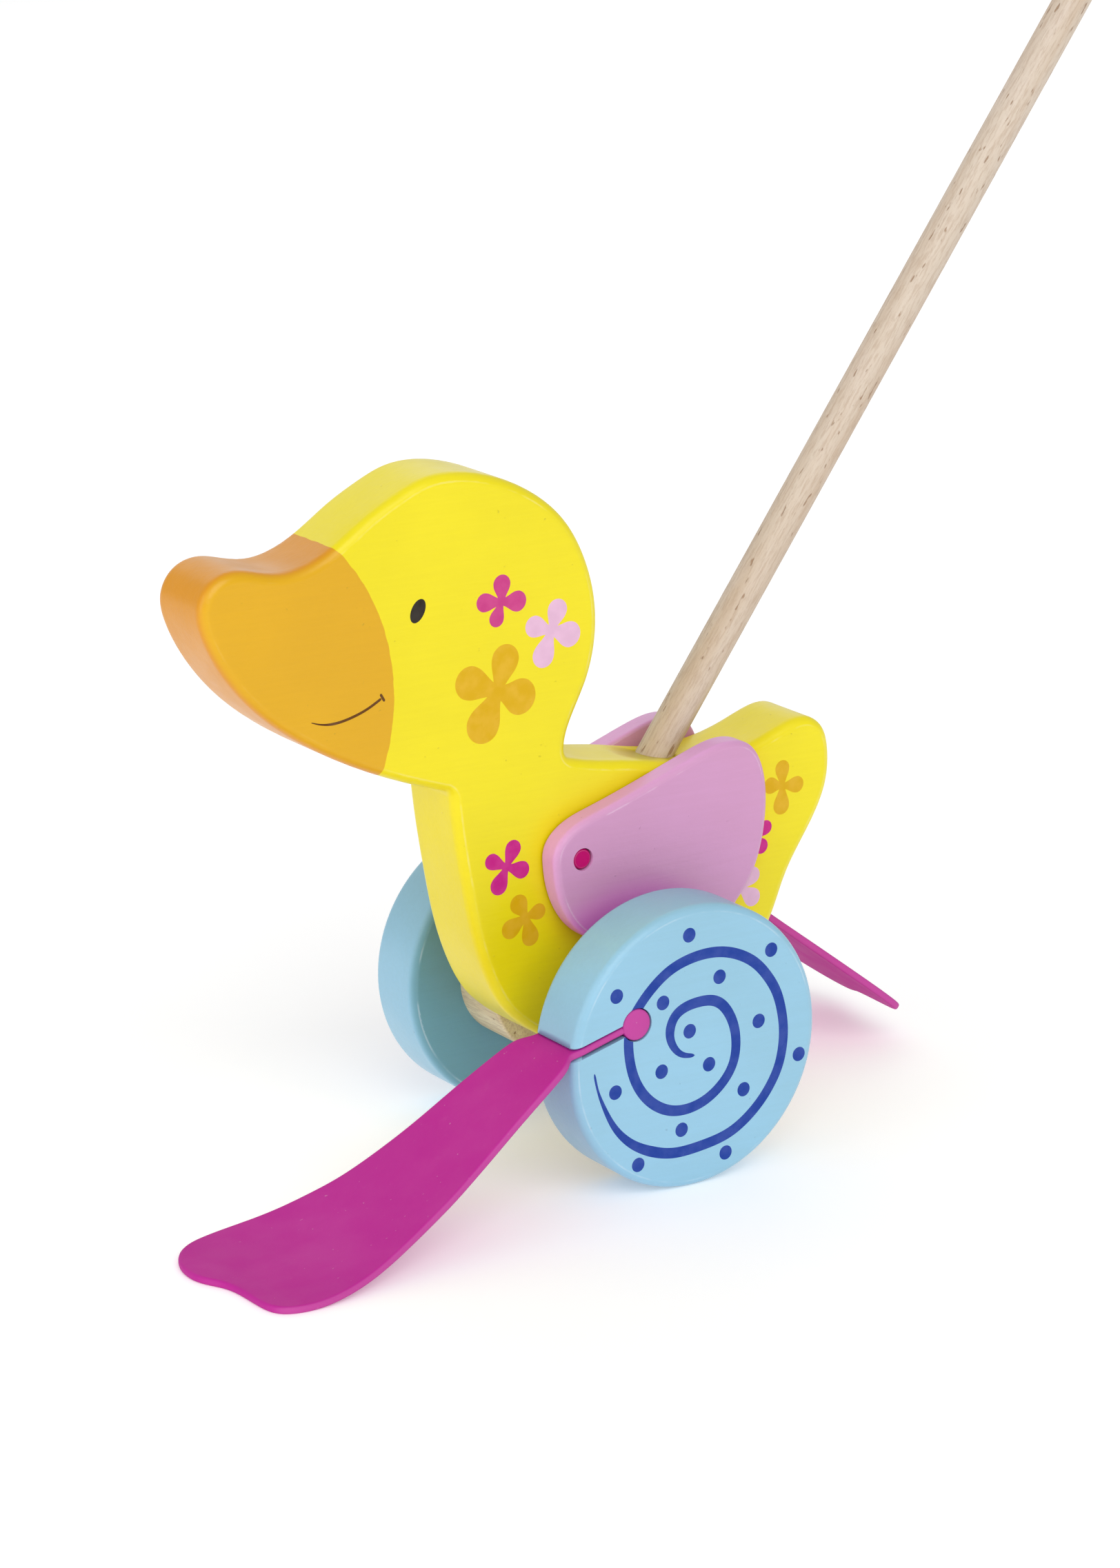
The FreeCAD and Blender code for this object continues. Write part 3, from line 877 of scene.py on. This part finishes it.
def wheel_prints(turned_over):
    """The spiral and dots; the right wheel's are turned over about the line half way between the beads."""
    line = smooth_line(SPIRAL, 0.5)
    widths = rounded_ends(line, SPIRAL_WIDTH, SPIRAL_TAPER_START, SPIRAL_TAPER_END)
    shapes = [stroke(line, widths)] + [circle(dot, DOT_RADIUS, 28) for dot in DOTS]
    if turned_over:
        c, s = direction(LEFT_BEAD_ANGLE + RIGHT_BEAD_ANGLE)
        shapes = [np.stack([p[:, 0] * c + p[:, 1] * s, p[:, 0] * s - p[:, 1] * c], 1) for p in shapes]
    return [("ink_blue", shape) for shape in shapes]


ink_materials = {name: ink(name, colour) for name, colour in INKS.items()}
body_material = paint("body_paint", YELLOW, beak=True)
wing_material = paint("wing_paint", LILAC, edge=LILAC_EDGE, shade_tone=SHADED_LILAC, where_shaded=wing_shade_near_axle)
wheel_material = paint("wheel_paint", SKY, shade_tone=SHADED_SKY, where_shaded=wheel_inner_shade)
peg_material = paint("peg_paint", MAGENTA_PAINT, grain=(260, 14, 260), coat=0.0, specular=0.15)
grip_material = paint("grip_paint", YELLOW, grain=(260, 260, 14))
stick_material = beech("stick_beech", STICK_TURN, *STICK_WOOD)
hub_material = beech("hub_beech", ACROSS_TURN, *HUB_WOOD)
rubber_material = rubber("foot_rubber", RUBBER)

both_sides = {sign * BOARD_SIDE: duck_prints() for sign in (1, -1)}
duck = printed_board("duck_body", "duck_board", both_sides, body_material)
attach(duck, "duck")
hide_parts("duck_body")

for side, sign in (("left", 1), ("right", -1)):
    outer_side = {sign * WHEEL_OUTER: wheel_prints(turned_over=side == "right")}
    wheel = printed_board(side + "_wheel", side + "_wheel_printed", outer_side, wheel_material)
    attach(wheel, "wheelset")
    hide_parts(side + "_wheel")

make_foot("left", LEFT_BEAD_ANGLE, LEFT_SLOT_ANGLE, LEFT_FOOT_CURVE, WHEEL_MIDDLE)
make_foot("right", RIGHT_BEAD_ANGLE, RIGHT_SLOT_ANGLE, RIGHT_FOOT_CURVE, -WHEEL_MIDDLE, RIGHT_FOOT_TWIST)

FINISHES = {
    "push_stick": stick_material,
    "grip_ball": grip_material,
    "left_wing": wing_material,
    "right_wing": wing_material,
    "left_wing_peg": peg_material,
    "right_wing_peg": peg_material,
    "axle": hub_material,
    "left_hub": hub_material,
    "right_hub": hub_material,
}
for node, material in FINISHES.items():
    mesh = frame["nodes"][node].data
    mesh.materials.clear()
    mesh.materials.append(material)


# ---------------------------------------------------------------- floor, light and camera

def add_floor():
    """A round floor at the height that the wheels stand on."""
    ground = bmesh.new()
    bmesh.ops.create_circle(ground, cap_ends=True, segments=96, radius=FLOOR_RADIUS)
    mesh = finished_mesh(ground, "floor")
    mesh.materials.append(pale_floor())
    new_object("floor", mesh)


def add_softbox(name, place, size, power):
    """A large square area light that faces the toy."""
    light = bpy.data.lights.new(name, "AREA")
    light.shape = "SQUARE"
    light.size = size
    light.energy = power
    lamp = new_object(name, light)
    lamp.location = place
    lamp.rotation_euler = (Vector(TOY_MIDDLE) - Vector(place)).to_track_quat("-Z", "Y").to_euler()


def add_sun():
    """A broad, soft light from above, behind the camera and to its right."""
    light = bpy.data.lights.new("overhead", "SUN")
    light.energy = SUN_STRENGTH
    light.angle = math.radians(SUN_ANGLE)
    lamp = new_object("overhead", light)
    lamp.rotation_euler = Vector(SUN_FROM).to_track_quat("Z", "Y").to_euler()


def add_world():
    """An even white surround, shown with its colours as they are."""
    world = bpy.data.worlds.new("studio")
    world.use_nodes = True
    background = world.node_tree.nodes["Background"]
    background.inputs["Color"].default_value = WHITE
    background.inputs["Strength"].default_value = WORLD_STRENGTH
    bpy.context.scene.world = world
    bpy.context.scene.view_settings.view_transform = "Standard"


def add_camera():
    """The camera, which looks along one azimuth and elevation at the toy."""
    azimuth, elevation = math.radians(CAMERA_AZIMUTH), math.radians(CAMERA_ELEVATION)
    level = math.cos(elevation)
    back = Vector((level * math.sin(azimuth), level * math.cos(azimuth), math.sin(elevation)))
    lens = bpy.data.cameras.new("camera")
    lens.lens = CAMERA_LENS
    lens.sensor_width = CAMERA_SENSOR
    lens.clip_start, lens.clip_end = CAMERA_RANGE
    camera = new_object("camera", lens)
    camera.location = CAMERA_PLACE
    camera.rotation_euler = (-back).to_track_quat("-Z", "Y").to_euler()
    bpy.context.scene.camera = camera


add_floor()
for name, settings in SOFTBOXES.items():
    add_softbox(name, *settings)
add_sun()
add_world()
add_camera()
